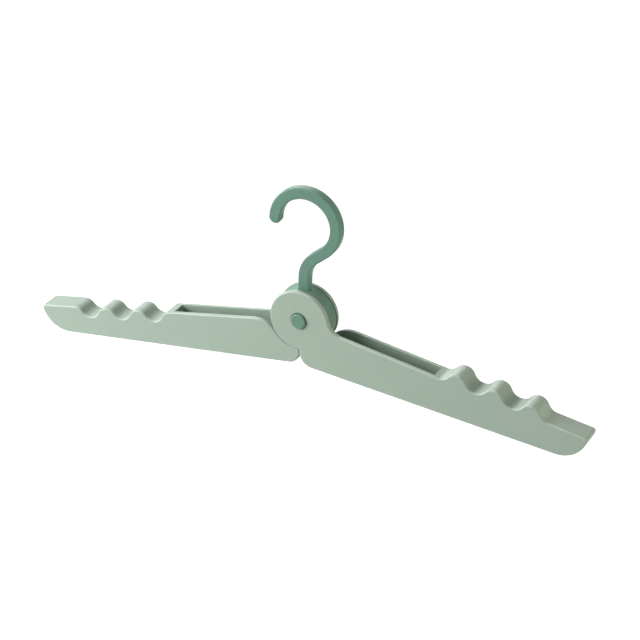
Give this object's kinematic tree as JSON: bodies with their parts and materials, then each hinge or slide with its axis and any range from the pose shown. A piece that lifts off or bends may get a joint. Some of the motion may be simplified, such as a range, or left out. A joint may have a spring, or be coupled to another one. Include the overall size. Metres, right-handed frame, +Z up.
{
  "type": "folding travel hanger",
  "caption": "Flat folding clothes hanger: two channel-shaped arms with wavy strap rests swing up round a flat hook on one shared hinge pin.",
  "frame": {"origin": "centre of the hook's curl, midway through the hanger's thickness", "axes": "+X along the open arms to the front ear's arm, +Y from front to back, +Z up"},
  "size_m": [0.3849, 0.0175, 0.1378],
  "materials": {
    "arm_plastic": "satin moulded plastic, pale sage green",
    "hook_plastic": "satin moulded plastic, mid sage green"
  },
  "bodies": {
    "hook_unit": {"hook": "hook_plastic", "pivot_pin": "hook_plastic", "pin_cap": "hook_plastic"},
    "right_arm": {"right_arm": "arm_plastic"},
    "left_arm": {"left_arm": "arm_plastic"}
  },
  "joints": [
    {"name": "right_arm_hinge", "type": "hinge", "parent": "hook_unit", "child": "right_arm", "pos_m": [-0.00195, 0, -0.06387], "axis": [0, -1, 0], "range_deg": [0, 98.1]},
    {"name": "left_arm_hinge", "type": "hinge", "parent": "hook_unit", "child": "left_arm", "pos_m": [-0.00195, 0, -0.06387], "axis": [0, 1, 0], "range_deg": [0, 101.6]}
  ]
}
